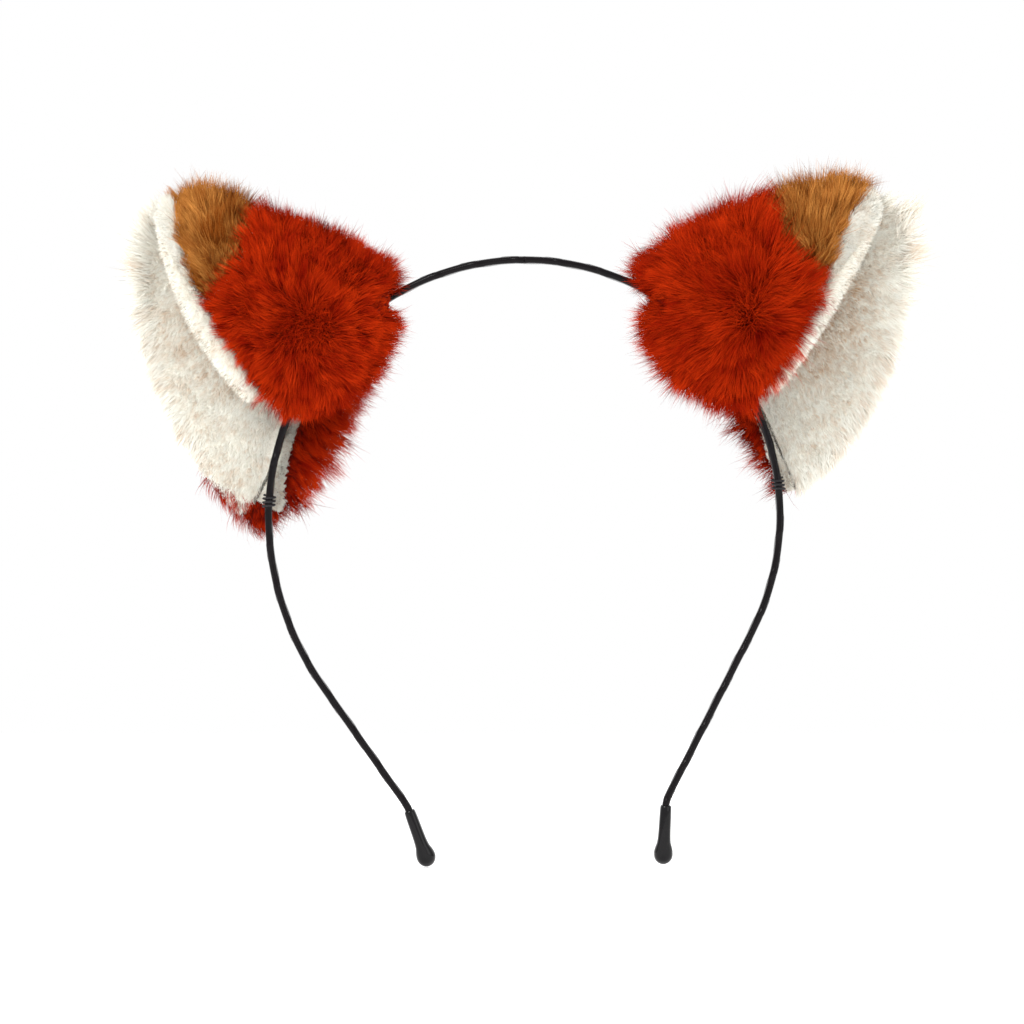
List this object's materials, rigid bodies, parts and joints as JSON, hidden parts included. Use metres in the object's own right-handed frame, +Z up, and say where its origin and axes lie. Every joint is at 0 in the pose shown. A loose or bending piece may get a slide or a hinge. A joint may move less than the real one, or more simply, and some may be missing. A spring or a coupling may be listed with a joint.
{
  "type": "animal ears headband",
  "caption": "Costume headband: a ribbon-wrapped spring band with rubber end caps carries two folded faux-fur fox ears that swivel a little at their stitches.",
  "frame": {"origin": "middle of the band's crown, on the face that rests on the head", "axes": "+X to the right as seen from the front, across the band; +Y to the back; +Z up"},
  "size_m": [0.1992, 0.027, 0.1753],
  "materials": {
    "spring_steel": "satin",
    "black_ribbon": "satin",
    "black_rubber": "gloss",
    "rust_fur": "matte",
    "brown_fur": "matte",
    "cream_plush": "matte",
    "white_padding": "matte",
    "dark_thread": "matte",
    "brown_thread": "matte"
  },
  "bodies": {
    "crown": {"spring_strip_crown": "spring_steel", "ribbon_wrap_crown": "black_ribbon"},
    "left_arm": {"spring_strip_left": "spring_steel", "ribbon_wrap_left": "black_ribbon", "end_cap_left": "black_rubber", "ear_stitch_left_upper": "dark_thread", "ear_stitch_left_lower": "dark_thread"},
    "right_arm": {"spring_strip_right": "spring_steel", "ribbon_wrap_right": "black_ribbon", "end_cap_right": "black_rubber", "ear_stitch_right_upper": "dark_thread", "ear_stitch_right_lower": "dark_thread"},
    "left_ear": {"ear_fur_left": "rust_fur", "ear_tip_fur_left": "brown_fur", "ear_lining_left": "cream_plush", "ear_padding_left": "white_padding", "tip_seam_left": "brown_thread"},
    "right_ear": {"ear_fur_right": "rust_fur", "ear_tip_fur_right": "brown_fur", "ear_lining_right": "cream_plush", "ear_padding_right": "white_padding", "tip_seam_right": "brown_thread"}
  },
  "joints": [
    {"name": "left_arm_flex", "type": "hinge", "parent": "crown", "child": "left_arm", "pos_m": [-0.0141, 0, -0.00053], "axis": [0, 1, 0], "range_deg": [-5, 15], "stiffness_Nm_per_rad": 1},
    {"name": "right_arm_flex", "type": "hinge", "parent": "crown", "child": "right_arm", "pos_m": [0.0141, 0, -0.00053], "axis": [0, -1, 0], "range_deg": [-5, 15], "stiffness_Nm_per_rad": 1},
    {"name": "left_ear_swivel", "type": "hinge", "parent": "left_arm", "child": "left_ear", "pos_m": [-0.05171, 0, -0.03602], "axis": [0.4943, 0, 0.8693], "range_deg": [-12, 12], "stiffness_Nm_per_rad": 0.03},
    {"name": "right_ear_swivel", "type": "hinge", "parent": "right_arm", "child": "right_ear", "pos_m": [0.05103, 0, -0.03346], "axis": [0.5308, 0, -0.8475], "range_deg": [-12, 12], "stiffness_Nm_per_rad": 0.03}
  ]
}
